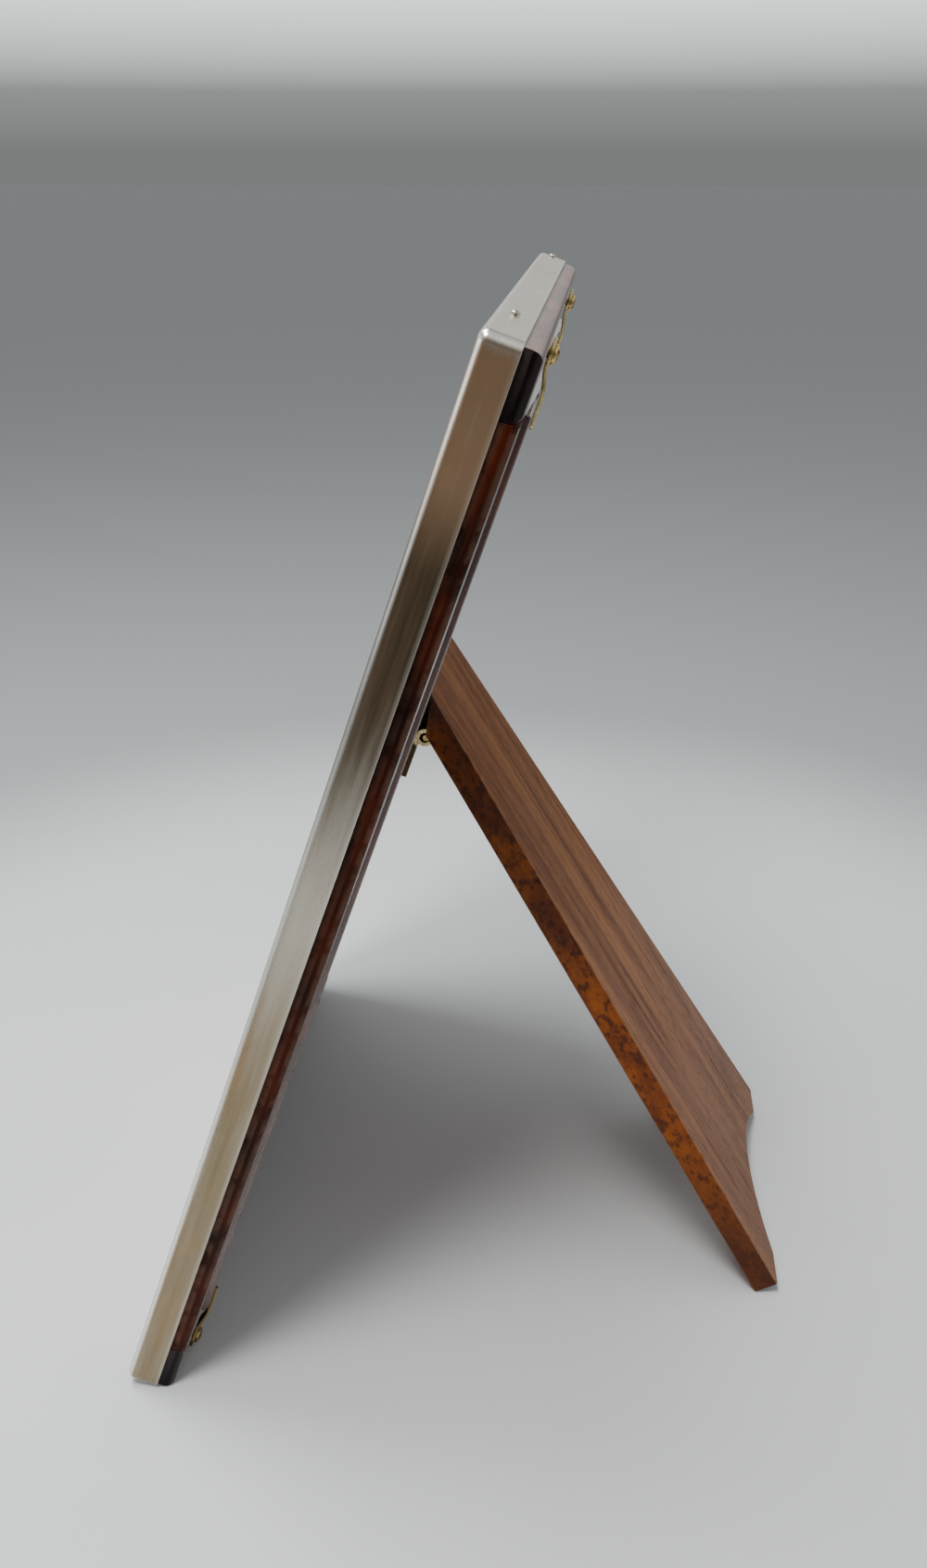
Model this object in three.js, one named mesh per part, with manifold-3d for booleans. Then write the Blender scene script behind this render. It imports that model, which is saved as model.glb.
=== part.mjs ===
// A desk picture frame with an easel back: a thin metal cover over a wooden frame, a glazed window,
// a loose back board held by four turn buttons, and a hinged leg that props the frame up.
// Millimetres, +Z up. X runs across the frame and the picture looks towards -Y.
// The origin is on the table, below the middle of the object's box.
import * as THREE from 'three';
import { mergeVertices } from 'three/addons/utils/BufferGeometryUtils.js';
import Module from 'manifold-3d';

const wasm = await Module();
wasm.setup();

// ---- Driving dimensions (mm and degrees) ----
const frameHeight = 300;
const frameWidth = 200;
const frameLean = 19.2; // how far the picture leans back from upright

const coverDepth = 8.8; // the metal wraps this far back round the edges
const coverSheet = 0.6;
const coverBorder = 24; // width of metal round the window
const coverFrontRadius = 1.9;
const coverCornerRadius = 2.4;
const windowCornerRadius = 2;

const woodStandsBehindCover = 4.4;
const topRailWidth = 13.9;
const bottomRailWidth = 15;
const stileWidth = 15;
const arrisRadius = 2.4;
const heelClearance = 0.3; // keeps the wood off the table, so the metal edge carries the frame

const glassThickness = 2;
const mountThickness = 1.5;
const mountShowsAtSides = 20; // card seen between the window's edge and the opening
const mountShowsAtEnds = 45;
const printThickness = 0.3;
const printBehindSides = 7.5; // how far the print runs on behind the card
const printBehindEnds = 8;
const backingThickness = 2;
const backBoardProud = 1.4; // the back board stands this far behind the rails

const hingeHeight = 182; // axis of the leg hinge, measured up the frame
const hingeWidth = 42;
const leafLength = 13.5;
const leafThickness = 1.5;
const knuckleRadius = 2.6;
const knuckleCount = 5;
const hingePinRadius = 1.1;
const hingeScrewPitch = 14;
const hingeScrewHeadRadius = 2;
const hingeScrewShankRadius = 1;
const hingeScrewPoint = 1.2;
const woodLeftBeyondScrew = 1.6;

const legSpread = 30.9; // how far the leg leans forward from upright
const legTopWidth = 46.9;
const legBaseWidth = 93.1;
const legThickness = 7.7;
const leafLetIn = 1; // how deep the moving leaf sits in the leg
const bevelRelief = 12; // the leg's top end is cut this much steeper than the back board
const archHalfWidth = 33.5;
const archRise = 11.6;

const buttonReach = 16.7; // pivot to tip
const buttonThickness = 0.6;
const buttonBossRadius = 3.6;
const buttonTipRadius = 1.2;
const buttonRampRun = 3.5; // length of the crank for each millimetre it rises
const buttonScrewHeadRadius = 2.3;
const buttonScrewHeadHeight = 1.5;
const buttonScrewShankRadius = 1.2;
const buttonScrewPoint = 2;
const buttonFromEnd = 5.7; // pivot in from the top or the bottom of the wood
const topButtonInset = 45.1; // in from the side of the wood
const bottomButtonInset = 15.1;
const bottomButtonTilt = 15; // the lower buttons were left turned a little inwards
const screwSlotWidth = 0.6;
const screwSlotDepth = 0.7;

const pinHeadRadius = 1.15;
const pinHeadHeight = 0.7;
const pinShankRadius = 0.5;
const pinLength = 6;
const pinPoint = 0.8;
const pinSetBack = 4.3; // behind the front face
const pinFromLeftEdge = 5;
const pinFromRightEdge = 32;

// ---- Clearances ----
const fitGap = 0.3; // between pieces that touch or nest
const seatGap = 0.2; // under screw and pin heads
const runGap = 0.08; // hinge pin in its knuckles

// ---- Places that follow from the sizes above, as depths behind the front face ----
const lean = THREE.MathUtils.degToRad(frameLean);
const spread = THREE.MathUtils.degToRad(legSpread);
const opening = lean + spread; // angle between the back board and the leg

const woodInset = coverSheet + fitGap;
const woodHalfWidth = frameWidth / 2 - woodInset;
const woodTop = frameHeight - woodInset;
const woodBottom = woodInset + heelClearance;
const woodFront = coverSheet + fitGap;
const woodRear = coverDepth + woodStandsBehindCover;
const rebateHalfWidth = woodHalfWidth - stileWidth;
const rebateTop = woodTop - topRailWidth;
const rebateBottom = woodBottom + bottomRailWidth;

const glassFront = woodFront;
const mountFront = glassFront + glassThickness + fitGap;
const printFront = mountFront + mountThickness + fitGap;
const backingFront = printFront + printThickness + fitGap;
const boardFront = backingFront + backingThickness + fitGap;
const boardRear = woodRear + backBoardProud;
const middleHeight = (rebateTop + rebateBottom) / 2;
const mountOpeningWidth = frameWidth - 2 * (coverBorder + mountShowsAtSides);
const mountOpeningHeight = frameHeight - 2 * (coverBorder + mountShowsAtEnds);
const printWidth = mountOpeningWidth + 2 * printBehindSides;
const printHeight = mountOpeningHeight + 2 * printBehindEnds;

const leafFront = boardRear + fitGap;
const axisDepth = leafFront + knuckleRadius;
const axisToLegFace = knuckleRadius - leafLetIn;

// ---- Geometry helpers ----
function solidOf(geometry) {
  const bare = geometry.clone();
  bare.deleteAttribute('normal');
  bare.deleteAttribute('uv');
  const merged = mergeVertices(bare, 1e-4);
  return new wasm.Manifold(new wasm.Mesh({
    numProp: 3,
    vertProperties: new Float32Array(merged.attributes.position.array),
    triVerts: new Uint32Array(merged.index.array),
  }));
}

function geometryOf(solid) {
  const mesh = solid.getMesh();
  const geometry = new THREE.BufferGeometry();
  geometry.setAttribute('position', new THREE.BufferAttribute(mesh.vertProperties, 3));
  geometry.setIndex(new THREE.BufferAttribute(mesh.triVerts, 1));
  geometry.computeVertexNormals();
  return geometry;
}

function polygon(points) {
  return new THREE.Shape(points.map(([x, y]) => new THREE.Vector2(x, y)));
}

function roundedRectangle(halfWidth, bottom, top, radius) {
  const shape = new THREE.Shape();
  shape.absarc(halfWidth - radius, bottom + radius, radius, -Math.PI / 2, 0);
  shape.absarc(halfWidth - radius, top - radius, radius, 0, Math.PI / 2);
  shape.absarc(radius - halfWidth, top - radius, radius, Math.PI / 2, Math.PI);
  shape.absarc(radius - halfWidth, bottom + radius, radius, Math.PI, 1.5 * Math.PI);
  return shape;
}

// An outline seen from the front, made solid between two depths.
function plate(shape, fromDepth, toDepth, curveSegments = 6) {
  const geometry = new THREE.ExtrudeGeometry(shape, {
    depth: toDepth - fromDepth, bevelEnabled: false, curveSegments,
  });
  return solidOf(geometry.translate(0, 0, -toDepth));
}

function board(halfWidth, bottom, top, fromDepth, toDepth) {
  const corners = [[-halfWidth, bottom], [halfWidth, bottom], [halfWidth, top], [-halfWidth, top]];
  return plate(polygon(corners), fromDepth, toDepth);
}

// A profile of (height, depth), made solid across the width.
function acrossWidth(profile, fromX, toX) {
  const geometry = new THREE.ExtrudeGeometry(profile, {
    depth: toX - fromX, bevelEnabled: false, curveSegments: 5,
  });
  const up = new THREE.Vector3(0, 1, 0);
  const rearward = new THREE.Vector3(0, 0, -1);
  const left = new THREE.Vector3(-1, 0, 0);
  geometry.applyMatrix4(new THREE.Matrix4().makeBasis(up, rearward, left));
  return solidOf(geometry.translate(toX, 0, 0));
}

// A profile of (width, depth), made solid up the height.
function alongHeight(profile, fromY, toY) {
  const geometry = new THREE.ExtrudeGeometry(profile, {
    depth: toY - fromY, bevelEnabled: false, curveSegments: 5,
  });
  const right = new THREE.Vector3(1, 0, 0);
  const rearward = new THREE.Vector3(0, 0, -1);
  const up = new THREE.Vector3(0, 1, 0);
  geometry.applyMatrix4(new THREE.Matrix4().makeBasis(right, rearward, up));
  return solidOf(geometry.translate(0, fromY, 0));
}

// A rod along X, centred on a height and a depth.
function rodAcross(radius, fromX, toX, height, depth, sides = 24) {
  const geometry = new THREE.CylinderGeometry(radius, radius, toX - fromX, sides);
  return solidOf(geometry.rotateZ(Math.PI / 2).translate((fromX + toX) / 2, height, -depth));
}

// A turned piece whose axis runs through the frame: the profile gives (radius, depth) pairs.
function turned(profile, x, height, sides = 20) {
  const points = profile.map(([radius, depth]) => new THREE.Vector2(radius, depth));
  const geometry = new THREE.LatheGeometry(points, sides);
  return solidOf(geometry.rotateX(-Math.PI / 2).translate(x, height, 0));
}

// A drilled hole through the frame between two depths.
function hole(radius, x, height, fromDepth, toDepth) {
  return turned([[0, fromDepth], [radius, fromDepth], [radius, toDepth], [0, toDepth]], x, height, 16);
}

// The cut for a screwdriver, long enough to cross the whole head.
function screwSlot(x, height, fromDepth, toDepth, headRadius, angle) {
  const geometry = new THREE.BoxGeometry(3 * headRadius, screwSlotWidth, toDepth - fromDepth);
  geometry.rotateZ(angle).translate(x, height, -(fromDepth + toDepth) / 2);
  return solidOf(geometry);
}

// ---- Materials ----
const silver = { color: 0xbab6ac, metalness: 1, roughness: 0.34 };
const brass = { color: 0xb8944a, metalness: 1, roughness: 0.32 };
const agedBrass = { color: 0x6e5636, metalness: 0.9, roughness: 0.45 };
const frameWood = { color: 0x4a2318, metalness: 0, roughness: 0.35 };
const boardWood = { color: 0x5a3324, metalness: 0, roughness: 0.3 };
const legWood = { color: 0x85603f, metalness: 0, roughness: 0.5 };
const card = { color: 0xe6dfcd, metalness: 0, roughness: 0.9 };
const backingCard = { color: 0x9b8260, metalness: 0, roughness: 0.95 };
const photoPaper = { color: 0xb7a88e, metalness: 0, roughness: 0.4 };
const glass = { color: 0xe8f0ee, metalness: 0, roughness: 0.05, transparent: true, opacity: 0.3 };

function named(name, solid, finish) {
  const mesh = new THREE.Mesh(geometryOf(solid), new THREE.MeshStandardMaterial(finish));
  mesh.name = name;
  return mesh;
}

// ---- Metal cover ----
// A block with the cover's rounded front edges: its outside, or what fits inside it when inset.
function coverBlank(inset, rearDepth) {
  const roundness = coverFrontRadius - inset;
  const outline = roundedRectangle(
    frameWidth / 2 - inset, inset, frameHeight - inset, coverCornerRadius - inset,
  );
  const geometry = new THREE.ExtrudeGeometry(outline, {
    depth: rearDepth, bevelEnabled: true, bevelThickness: roundness, bevelSize: roundness,
    bevelOffset: -roundness, bevelSegments: 4, curveSegments: 4,
  });
  return solidOf(geometry.translate(0, 0, -rearDepth - roundness - inset));
}

function makeCover() {
  const behind = board(frameWidth, -frameHeight, 2 * frameHeight, coverDepth, 3 * coverDepth);
  const window = roundedRectangle(
    frameWidth / 2 - coverBorder, coverBorder, frameHeight - coverBorder, windowCornerRadius,
  );
  const shell = coverBlank(0, coverDepth).subtract(coverBlank(coverSheet, 2 * coverDepth)).subtract(behind);
  return pinPlaces.reduce(
    (solid, pin) => solid.subtract(pinBore(pin)),
    shell.subtract(plate(window, -1, coverSheet + 1)),
  );
}

// ---- Cover pins, driven down into the top rail and up into the bottom rail ----
const pinPlaces = [
  { name: 'cover_pin_top_left', x: pinFromLeftEdge - frameWidth / 2, edge: frameHeight, outward: 1 },
  { name: 'cover_pin_top_right', x: frameWidth / 2 - pinFromRightEdge, edge: frameHeight, outward: 1 },
  { name: 'cover_pin_bottom_left', x: pinFromLeftEdge - frameWidth / 2, edge: 0, outward: -1 },
  { name: 'cover_pin_bottom_right', x: frameWidth / 2 - pinFromRightEdge, edge: 0, outward: -1 },
];

// A turned solid whose axis runs up the frame, from (radius, distance outwards) pairs.
function turnedUp(pin, profile, sides) {
  const points = profile.map(([radius, outwards]) => new THREE.Vector2(radius, outwards));
  const geometry = new THREE.LatheGeometry(points, sides);
  if (pin.outward < 0) geometry.rotateX(Math.PI);
  return solidOf(geometry.translate(pin.x, pin.edge, -pinSetBack));
}

function pinBore(pin) {
  const radius = pinShankRadius + fitGap;
  const end = fitGap - pinLength - seatGap;
  return turnedUp(pin, [[0, end - fitGap], [radius, end], [radius, 1], [0, 1]], 12);
}

// The pins on top have domed heads. Those underneath are headless and driven in flush, so that the
// frame stands on the cover's edge.
function makePin(pin) {
  const domed = pin.outward > 0;
  const end = domed ? seatGap : -coverSheet / 2;
  const shank = [[0, -pinLength], [pinShankRadius, pinPoint - pinLength], [pinShankRadius, end]];
  const dome = [
    [pinHeadRadius, end], [pinHeadRadius * 0.8, end + pinHeadHeight * 0.6], [0, end + pinHeadHeight],
  ];
  return turnedUp(pin, [...shank, ...(domed ? dome : [[0, end]])], 14);
}

// ---- Wooden frame ----
// The whole outside of the wooden frame, with its rear edges rounded over.
function woodBlank() {
  const cornerX = woodHalfWidth - arrisRadius;
  const centreDepth = woodRear - arrisRadius;
  const across = new THREE.Shape();
  across.moveTo(-woodHalfWidth, woodFront);
  across.lineTo(woodHalfWidth, woodFront);
  across.absarc(cornerX, centreDepth, arrisRadius, 0, Math.PI / 2);
  across.absarc(-cornerX, centreDepth, arrisRadius, Math.PI / 2, Math.PI);
  const upwards = new THREE.Shape();
  upwards.moveTo(woodBottom, woodFront);
  upwards.lineTo(woodTop, woodFront);
  upwards.absarc(woodTop - arrisRadius, centreDepth, arrisRadius, 0, Math.PI / 2);
  upwards.absarc(woodBottom + arrisRadius, centreDepth, arrisRadius, Math.PI / 2, Math.PI);
  return coverBlank(woodInset, woodRear)
    .intersect(alongHeight(across, woodBottom - 1, woodTop + 1))
    .intersect(acrossWidth(upwards, -woodHalfWidth - 1, woodHalfWidth + 1));
}

function drillRail(rail) {
  const screwed = buttonPlaces.reduce(
    (solid, place) => solid.subtract(hole(
      buttonScrewShankRadius + fitGap, place.x, place.y, woodRear - buttonScrewDepth - fitGap, woodRear + 1,
    )),
    rail,
  );
  return pinPlaces.reduce((solid, pin) => solid.subtract(pinBore(pin)), screwed);
}

function makeTopRail() {
  const zone = board(frameWidth, rebateTop, frameHeight, 0, woodRear + 1);
  return drillRail(woodBlank().intersect(zone));
}

function makeBottomRail() {
  const zone = board(frameWidth, 0, rebateBottom, 0, woodRear + 1);
  return drillRail(woodBlank().intersect(zone));
}

function makeStile(side) {
  const outer = side * frameWidth;
  const inner = side * rebateHalfWidth;
  const [low, high] = [rebateBottom + fitGap, rebateTop - fitGap];
  const corners = [[inner, low], [outer, low], [outer, high], [inner, high]];
  return woodBlank().intersect(plate(polygon(side > 0 ? corners : corners.reverse()), 0, woodRear + 1));
}

// ---- What the frame holds, from the glass back to the board ----
const layerHalfWidth = rebateHalfWidth - fitGap;
const layerBottom = rebateBottom + fitGap;
const layerTop = rebateTop - fitGap;

function makeGlass() {
  return board(layerHalfWidth, layerBottom, layerTop, glassFront, glassFront + glassThickness);
}

function makeMount() {
  const [low, high] = [middleHeight - mountOpeningHeight / 2, middleHeight + mountOpeningHeight / 2];
  return board(layerHalfWidth, layerBottom, layerTop, mountFront, mountFront + mountThickness)
    .subtract(board(mountOpeningWidth / 2, low, high, 0, printFront));
}

function makePrint() {
  const [low, high] = [middleHeight - printHeight / 2, middleHeight + printHeight / 2];
  return board(printWidth / 2, low, high, printFront, printFront + printThickness);
}

function makeBacking() {
  return board(layerHalfWidth, layerBottom, layerTop, backingFront, backingFront + backingThickness);
}

function makeBackBoard() {
  const blank = board(layerHalfWidth, layerBottom, layerTop, boardFront, boardRear);
  return hingeScrewXs.reduce(
    (solid, x) => solid.subtract(hole(
      hingeScrewShankRadius + fitGap, x, fixedScrewHeight,
      boardFront + woodLeftBeyondScrew - fitGap, boardRear + 1,
    )),
    blank,
  );
}

// ---- Turn buttons and their screws ----
const buttonLow = woodRear + fitGap;
const buttonHigh = boardRear + fitGap;
const buttonScrewDepth = woodRear - woodFront - woodLeftBeyondScrew;
const topButtonY = woodTop - buttonFromEnd;
const bottomButtonY = woodBottom + buttonFromEnd;
const topButtonX = woodHalfWidth - topButtonInset;
const bottomButtonX = woodHalfWidth - bottomButtonInset;
// The turns are in degrees, from pointing straight up.
const buttonPlaces = [
  { name: 'top_left', x: -topButtonX, y: topButtonY, turn: 180, slotTurn: 146 },
  { name: 'top_right', x: topButtonX, y: topButtonY, turn: 180, slotTurn: 34 },
  { name: 'bottom_left', x: -bottomButtonX, y: bottomButtonY, turn: -bottomButtonTilt, slotTurn: 67 },
  { name: 'bottom_right', x: bottomButtonX, y: bottomButtonY, turn: bottomButtonTilt, slotTurn: 113 },
];

// A spade-shaped plate, cranked so that its tip passes over the back board.
// It is drawn pointing up from its pivot at the origin.
function buttonBlank() {
  const shoulder = 0.14 * Math.PI; // the sides leave the boss this far above its middle
  const taper = 0.1; // radians the sides close in towards the tip
  const shape = new THREE.Shape();
  shape.absarc(0, 0, buttonBossRadius, Math.PI - shoulder, 2 * Math.PI + shoulder);
  shape.absarc(0, buttonReach - buttonTipRadius, buttonTipRadius, taper, Math.PI - taper);
  const rampStart = buttonBossRadius;
  const rampEnd = buttonBossRadius + buttonRampRun * (buttonHigh - buttonLow);
  const thick = buttonThickness;
  const profile = polygon([
    [-buttonReach, buttonLow], [rampStart, buttonLow], [rampEnd, buttonHigh], [2 * buttonReach, buttonHigh],
    [2 * buttonReach, buttonHigh + thick], [rampEnd, buttonHigh + thick],
    [rampStart, buttonLow + thick], [-buttonReach, buttonLow + thick],
  ]);
  return plate(shape, buttonLow - 1, buttonHigh + thick + 1, 8)
    .intersect(acrossWidth(profile, -buttonReach, buttonReach))
    .subtract(hole(buttonScrewShankRadius + fitGap, 0, 0, buttonLow - 1, buttonLow + thick + 1));
}

function makeButton(place) {
  return buttonBlank().rotate([0, 0, place.turn]).translate([place.x, place.y, 0]);
}

function makeButtonScrew(place) {
  const under = buttonLow + buttonThickness + seatGap;
  const top = under + buttonScrewHeadHeight;
  const point = woodRear - buttonScrewDepth;
  const profile = [
    [0, point], [buttonScrewShankRadius, point + buttonScrewPoint], [buttonScrewShankRadius, under],
    [buttonScrewHeadRadius, under], [buttonScrewHeadRadius * 0.86, under + buttonScrewHeadHeight * 0.55],
    [buttonScrewHeadRadius * 0.5, under + buttonScrewHeadHeight * 0.9], [0, top],
  ];
  const angle = THREE.MathUtils.degToRad(place.slotTurn);
  const cut = screwSlot(place.x, place.y, top - screwSlotDepth, top + 1, buttonScrewHeadRadius, angle);
  return turned(profile, place.x, place.y).subtract(cut);
}

// ---- Hinge ----
const knuckleLength = (hingeWidth - (knuckleCount - 1) * fitGap) / knuckleCount;
const leafInnerEdge = knuckleRadius + fitGap; // a leaf is cut back this far beside the other leaf's knuckles
const screwRow = (leafInnerEdge + leafLength) / 2;
const fixedScrewHeight = hingeHeight - screwRow;
const hingeScrewXs = [-hingeScrewPitch, 0, hingeScrewPitch];
const hingeSlotTurns = [0.7, 0.4, 2.3]; // radians, as the screws happened to stop

function knuckleSpans(firstKnuckle) {
  const spans = [];
  for (let i = firstKnuckle; i < knuckleCount; i += 2) {
    const from = -hingeWidth / 2 + i * (knuckleLength + fitGap);
    spans.push([from, from + knuckleLength]);
  }
  return spans;
}

// One leaf and its knuckles. The leaf hangs down from the axis, between two depths.
function leafSolid(axisHeight, depthOfAxis, leafFrom, leafTo, firstKnuckle) {
  const half = hingeWidth / 2;
  let solid = board(half, axisHeight - leafLength, axisHeight - leafInnerEdge, leafFrom, leafTo);
  for (const [from, to] of knuckleSpans(firstKnuckle)) {
    const tabBottom = axisHeight - leafInnerEdge - 1;
    const tab = polygon([[from, tabBottom], [to, tabBottom], [to, axisHeight], [from, axisHeight]]);
    solid = solid
      .add(plate(tab, leafFrom, leafTo))
      .add(rodAcross(knuckleRadius, from, to, axisHeight, depthOfAxis));
  }
  return solid.subtract(rodAcross(hingePinRadius + runGap, -half - 1, half + 1, axisHeight, depthOfAxis));
}

function drilledLeaf(leaf, openFace, into, height) {
  return hingeScrewXs.reduce((solid, x) => solid.subtract(countersink(x, height, openFace, into)), leaf);
}

function countersink(x, height, openFace, into) {
  const neck = hingeScrewHeadRadius - hingeScrewShankRadius;
  const wide = hingeScrewHeadRadius + fitGap;
  const narrow = hingeScrewShankRadius + fitGap;
  const profile = [
    [0, openFace - into], [wide, openFace - into], [wide, openFace], [narrow, openFace + into * neck],
    [narrow, openFace + into * 3], [0, openFace + into * 3],
  ];
  return turned(into > 0 ? profile : profile.reverse(), x, height, 16);
}

function makeHingeScrew(index, height, openFace, into, length) {
  const x = hingeScrewXs[index];
  const neck = hingeScrewHeadRadius - hingeScrewShankRadius;
  const profile = [
    [0, openFace], [hingeScrewHeadRadius, openFace], [hingeScrewShankRadius, openFace + into * neck],
    [hingeScrewShankRadius, openFace + into * (length - hingeScrewPoint)], [0, openFace + into * length],
  ];
  const [from, to] = [openFace - into, openFace + into * screwSlotDepth].sort((a, b) => a - b);
  const cut = screwSlot(x, height, from, to, hingeScrewHeadRadius, hingeSlotTurns[index]);
  return turned(into > 0 ? profile : profile.reverse(), x, height, 16).subtract(cut);
}

function makeFixedLeaf() {
  const leaf = leafSolid(hingeHeight, axisDepth, leafFront, leafFront + leafThickness, 0);
  return drilledLeaf(leaf, leafFront + leafThickness, -1, fixedScrewHeight);
}

function makeHingePin() {
  const half = hingeWidth / 2;
  return rodAcross(hingePinRadius, -half, half, hingeHeight, axisDepth);
}

// ---- Leg, drawn upright from its foot: depth 0 is the face towards the frame ----
const axisAboveTable = hingeHeight * Math.cos(lean) - (axisDepth - coverDepth) * Math.sin(lean);
const axisUpLeg = (axisAboveTable + axisToLegFace * Math.sin(spread)) / Math.cos(spread);
const legAxisDepth = -axisToLegFace;
const stopDrop = axisDepth - boardRear - fitGap;
const legAboveAxis = ((legThickness + axisToLegFace) * Math.cos(opening) + stopDrop) / Math.sin(opening);
const legLength = axisUpLeg + legAboveAxis;
const bevelAngle = opening - THREE.MathUtils.degToRad(bevelRelief);
const movingLeafRear = legAxisDepth + knuckleRadius;
const movingLeafFront = movingLeafRear - leafThickness;
const movingScrewHeight = axisUpLeg - screwRow;

function legOutline() {
  const archRadius = (archHalfWidth ** 2 + archRise ** 2) / (2 * archRise);
  const archAngle = Math.asin(archHalfWidth / archRadius);
  const shape = new THREE.Shape();
  shape.moveTo(-legBaseWidth / 2, 0);
  shape.lineTo(-archHalfWidth, 0);
  shape.absarc(0, archRise - archRadius, archRadius, Math.PI / 2 + archAngle, Math.PI / 2 - archAngle, true);
  shape.lineTo(legBaseWidth / 2, 0);
  shape.lineTo(legTopWidth / 2, legLength);
  shape.lineTo(-legTopWidth / 2, legLength);
  return shape;
}

function makeLeg() {
  const side = polygon([
    [0, 0], [legLength - legThickness / Math.tan(bevelAngle), 0],
    [legLength, legThickness], [0, legThickness],
  ]);
  const pocketHalf = hingeWidth / 2 + fitGap;
  const pocket = board(pocketHalf, axisUpLeg - leafLength - fitGap, axisUpLeg, -1, movingLeafRear + fitGap)
    .add(rodAcross(knuckleRadius + fitGap, -pocketHalf, pocketHalf, axisUpLeg, legAxisDepth));
  const blank = plate(legOutline(), 0, legThickness, 16)
    .intersect(acrossWidth(side, -legBaseWidth, legBaseWidth))
    .subtract(pocket);
  return hingeScrewXs.reduce(
    (solid, x) => solid.subtract(hole(
      hingeScrewShankRadius + fitGap, x, movingScrewHeight,
      movingLeafFront, legThickness - woodLeftBeyondScrew + fitGap,
    )),
    blank,
  );
}

function makeMovingLeaf() {
  const leaf = leafSolid(axisUpLeg, legAxisDepth, movingLeafFront, movingLeafRear, 1);
  return drilledLeaf(leaf, movingLeafFront, 1, movingScrewHeight);
}

// ---- Assembly ----
// In the frame group and in the leg group alike, Y runs up the piece and -Z runs through it to the back.
const frameGroup = new THREE.Group();
frameGroup.rotation.x = Math.PI / 2 - lean;
frameGroup.position.set(0, -coverDepth * Math.cos(lean), coverDepth * Math.sin(lean));

frameGroup.add(
  named('silver_cover', makeCover(), silver),
  named('top_rail', makeTopRail(), frameWood),
  named('bottom_rail', makeBottomRail(), frameWood),
  named('left_stile', makeStile(-1), frameWood),
  named('right_stile', makeStile(1), frameWood),
  named('window_glass', makeGlass(), glass),
  named('mount_card', makeMount(), card),
  named('photo_print', makePrint(), photoPaper),
  named('backing_card', makeBacking(), backingCard),
  named('back_board', makeBackBoard(), boardWood),
  named('hinge_fixed_leaf', makeFixedLeaf(), agedBrass),
  named('hinge_pin', makeHingePin(), brass),
);
for (const pin of pinPlaces) frameGroup.add(named(pin.name, makePin(pin), silver));
for (const place of buttonPlaces) {
  frameGroup.add(named(`turn_button_${place.name}`, makeButton(place), brass));
  frameGroup.add(named(`button_screw_${place.name}`, makeButtonScrew(place), brass));
}
const screwSides = ['left', 'middle', 'right'];
hingeScrewXs.forEach((_, i) => {
  const openFace = leafFront + leafThickness;
  const length = openFace - boardFront - woodLeftBeyondScrew;
  const screw = makeHingeScrew(i, fixedScrewHeight, openFace, -1, length);
  frameGroup.add(named(`board_hinge_screw_${screwSides[i]}`, screw, brass));
});

const legGroup = new THREE.Group();
legGroup.rotation.x = Math.PI / 2 + spread;
const axisBehindHeel = hingeHeight * Math.sin(lean) + (axisDepth - coverDepth) * Math.cos(lean);
const footBehindHeel = axisBehindHeel + axisUpLeg * Math.sin(spread) + axisToLegFace * Math.cos(spread);
legGroup.position.set(0, footBehindHeel, 0);
legGroup.add(
  named('easel_leg', makeLeg(), legWood),
  named('hinge_moving_leaf', makeMovingLeaf(), agedBrass),
);
hingeScrewXs.forEach((_, i) => {
  const length = legThickness - woodLeftBeyondScrew - movingLeafFront;
  const screw = makeHingeScrew(i, movingScrewHeight, movingLeafFront, 1, length);
  legGroup.add(named(`leg_hinge_screw_${screwSides[i]}`, screw, brass));
});

const object = new THREE.Group();
object.add(frameGroup, legGroup);
object.updateMatrixWorld(true);
const size = new THREE.Box3().setFromObject(object, true);
object.position.y = -(size.min.y + size.max.y) / 2;
object.updateMatrixWorld(true);

export default object;
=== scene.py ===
# %% [markdown]
# # An easel-backed silver picture frame
# A thin silver cover is wrapped over a dark wooden frame. The frame holds glass, a card mount, a print
# and a loose back board kept in by four brass turn buttons. A tapered leg hangs on a butt hinge behind
# it. Everything is drawn in millimetres on a "bench", an upright frame of a piece's own, because the
# real pieces were cut square and flat before they were leant together. A bench's matrix then carries
# the finished piece to its place in the shared frame.

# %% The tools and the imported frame
import math

import bmesh
import bpy
from mathutils import Matrix, Vector, noise


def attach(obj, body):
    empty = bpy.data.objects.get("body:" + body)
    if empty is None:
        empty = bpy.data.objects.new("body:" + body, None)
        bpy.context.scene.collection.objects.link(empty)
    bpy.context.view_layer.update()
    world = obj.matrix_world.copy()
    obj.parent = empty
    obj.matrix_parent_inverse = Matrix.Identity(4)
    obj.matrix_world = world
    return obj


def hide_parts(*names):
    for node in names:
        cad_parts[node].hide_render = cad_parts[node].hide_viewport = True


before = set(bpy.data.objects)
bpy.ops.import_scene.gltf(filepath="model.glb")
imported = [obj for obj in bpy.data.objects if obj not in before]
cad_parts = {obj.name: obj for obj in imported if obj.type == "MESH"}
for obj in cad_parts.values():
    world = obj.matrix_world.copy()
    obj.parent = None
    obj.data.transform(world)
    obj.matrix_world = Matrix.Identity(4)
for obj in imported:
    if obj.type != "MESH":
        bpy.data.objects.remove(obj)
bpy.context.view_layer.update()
MM = 0.001
print("shared frame:", len(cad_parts), "pieces")

# %% [markdown]
# ## Benches
# The picture leans back and the leg leans forward. Both slopes could be typed in, but the pieces
# already know them: the widest face of the glass looks straight out of the panel, and the widest face
# of the leg looks straight out of the leg. So each bench takes its slope from a piece, and its zero
# from that piece's lowest corner.


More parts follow.
